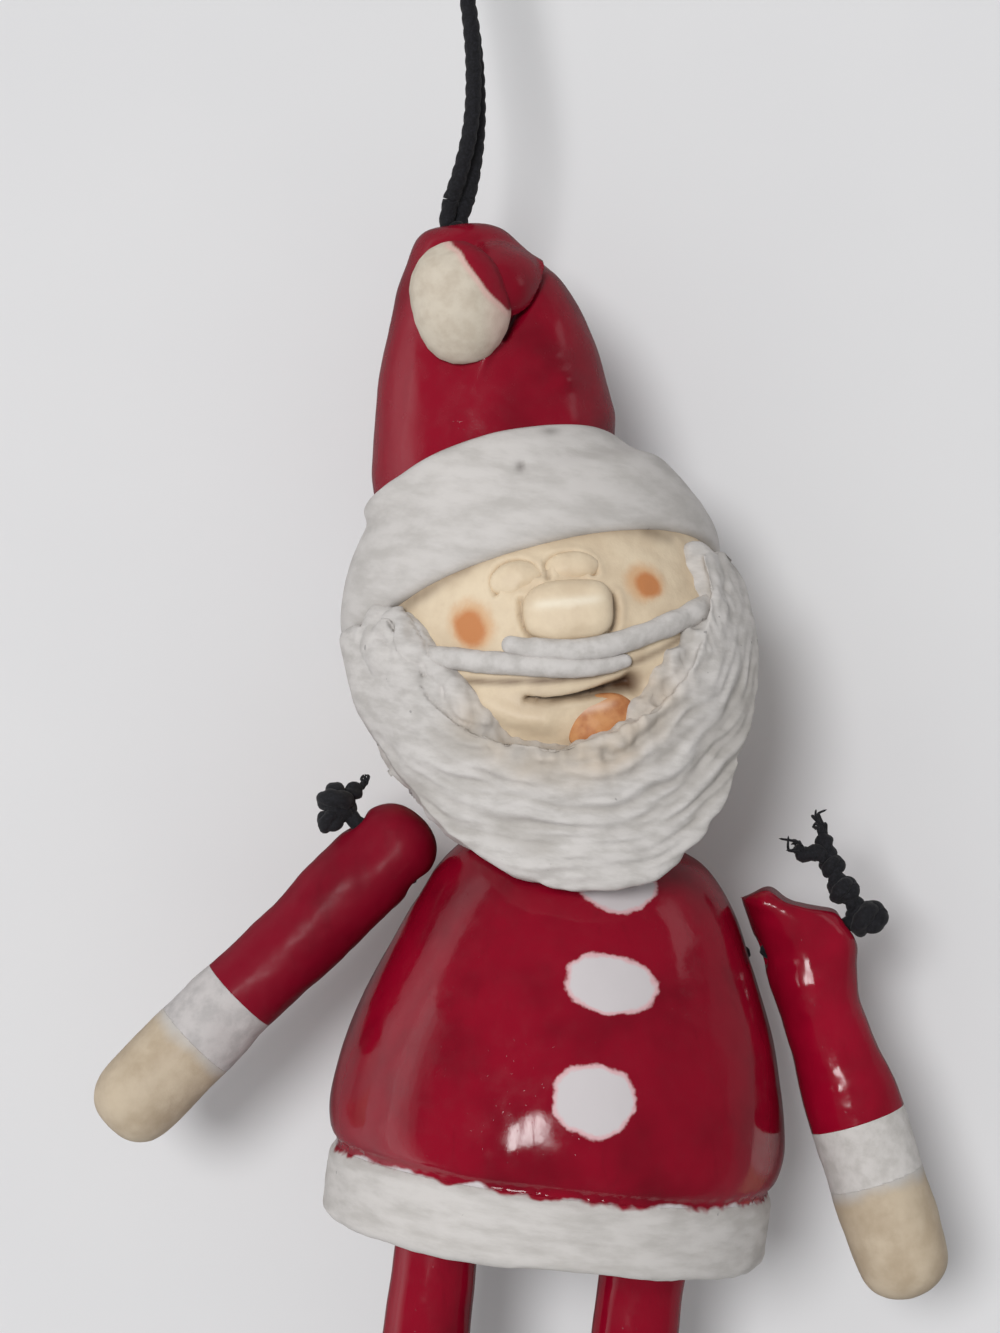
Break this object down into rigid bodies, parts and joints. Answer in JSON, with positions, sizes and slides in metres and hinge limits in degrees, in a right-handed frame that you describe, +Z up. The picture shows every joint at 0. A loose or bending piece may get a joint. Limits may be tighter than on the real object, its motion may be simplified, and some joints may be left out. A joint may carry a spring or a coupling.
{
  "type": "jumping jack",
  "caption": "Strung fired clay winter figure: bearded head in a red pointed hat, bell body, arms and legs that dangle on black cord under a hanging loop.",
  "frame": {"origin": "inside top of the hanging loop, where it bears on its hook", "axes": "+Z up, along the hanging cord; the figure's front faces -Y; +X is to the right of a viewer who faces the figure"},
  "size_m": [0.0998, 0.055, 0.2539],
  "materials": {
    "red_glaze": "glossy glaze",
    "matt_white": "matt paint",
    "cream": "matt paint",
    "skin": "matt paint",
    "tongue": "matt paint",
    "boot": "glossy glaze",
    "cord": "twisted"
  },
  "bodies": {
    "hanger": {"hanging_cord": "cord"},
    "head": {"crown_knot": "cord", "neck_cord": "cord", "hat": "red_glaze", "hat_tip": "red_glaze", "pompom": "cream", "fur_band": "matt_white", "head": "skin", "left_eyelid": "skin", "right_eyelid": "skin", "nose": "skin", "upper_moustache": "matt_white", "lower_moustache": "matt_white", "tongue": "tongue", "beard": "matt_white"},
    "torso": {"torso": "red_glaze", "hem_band": "matt_white", "neck_knot": "cord", "shoulder_cord": "cord", "left_hip_cord": "cord", "right_hip_cord": "cord"},
    "left_shoulder_cord": {"left_shoulder_knot": "cord", "left_knot_tails": "cord"},
    "right_shoulder_cord": {"right_shoulder_knot": "cord", "right_knot_tails": "cord"},
    "left_arm": {"left_sleeve_roll": "red_glaze", "left_cuff": "matt_white", "left_hand": "skin"},
    "right_arm": {"right_sleeve_roll": "red_glaze", "right_cuff": "matt_white", "right_hand": "skin"},
    "left_leg": {"left_trouser": "red_glaze", "left_boot": "boot"},
    "right_leg": {"right_trouser": "red_glaze", "right_boot": "boot"}
  },
  "joints": [
    {"name": "head_swing", "type": "hinge", "parent": "hanger", "child": "head", "pos_m": [0, 0, -0.09], "axis": [0, 1, 0], "range_deg": [-30, 30]},
    {"name": "torso_swing", "type": "hinge", "parent": "head", "child": "torso", "pos_m": [0.00773, 0, -0.16359], "axis": [0, 1, 0], "range_deg": [-33, 2]},
    {"name": "left_arm_lift", "type": "hinge", "parent": "torso", "child": "left_shoulder_cord", "pos_m": [-0.01719, 0, -0.16371], "axis": [0, 1, 0], "range_deg": [-16, 6]},
    {"name": "right_arm_lift", "type": "hinge", "parent": "torso", "child": "right_shoulder_cord", "pos_m": [0.03078, 0, -0.18014], "axis": [0, -1, 0], "range_deg": [-5, 6]},
    {"name": "left_arm_swing", "type": "hinge", "parent": "left_shoulder_cord", "child": "left_arm", "pos_m": [-0.01719, 0, -0.16371], "axis": [-0.6088, 0, 0.7934], "range_deg": [-35, 60]},
    {"name": "right_arm_swing", "type": "hinge", "parent": "right_shoulder_cord", "child": "right_arm", "pos_m": [0.03078, 0, -0.18014], "axis": [-0.9816, 0, -0.1908], "range_deg": [-35, 60]},
    {"name": "left_leg_swing", "type": "hinge", "parent": "torso", "child": "left_leg", "pos_m": [-0.01535, 0, -0.20473], "axis": [-0.9703, 0, 0.2419], "range_deg": [-45, 45]},
    {"name": "right_leg_swing", "type": "hinge", "parent": "torso", "child": "right_leg", "pos_m": [0.00881, 0, -0.21075], "axis": [-0.9703, 0, 0.2419], "range_deg": [-45, 45]}
  ]
}
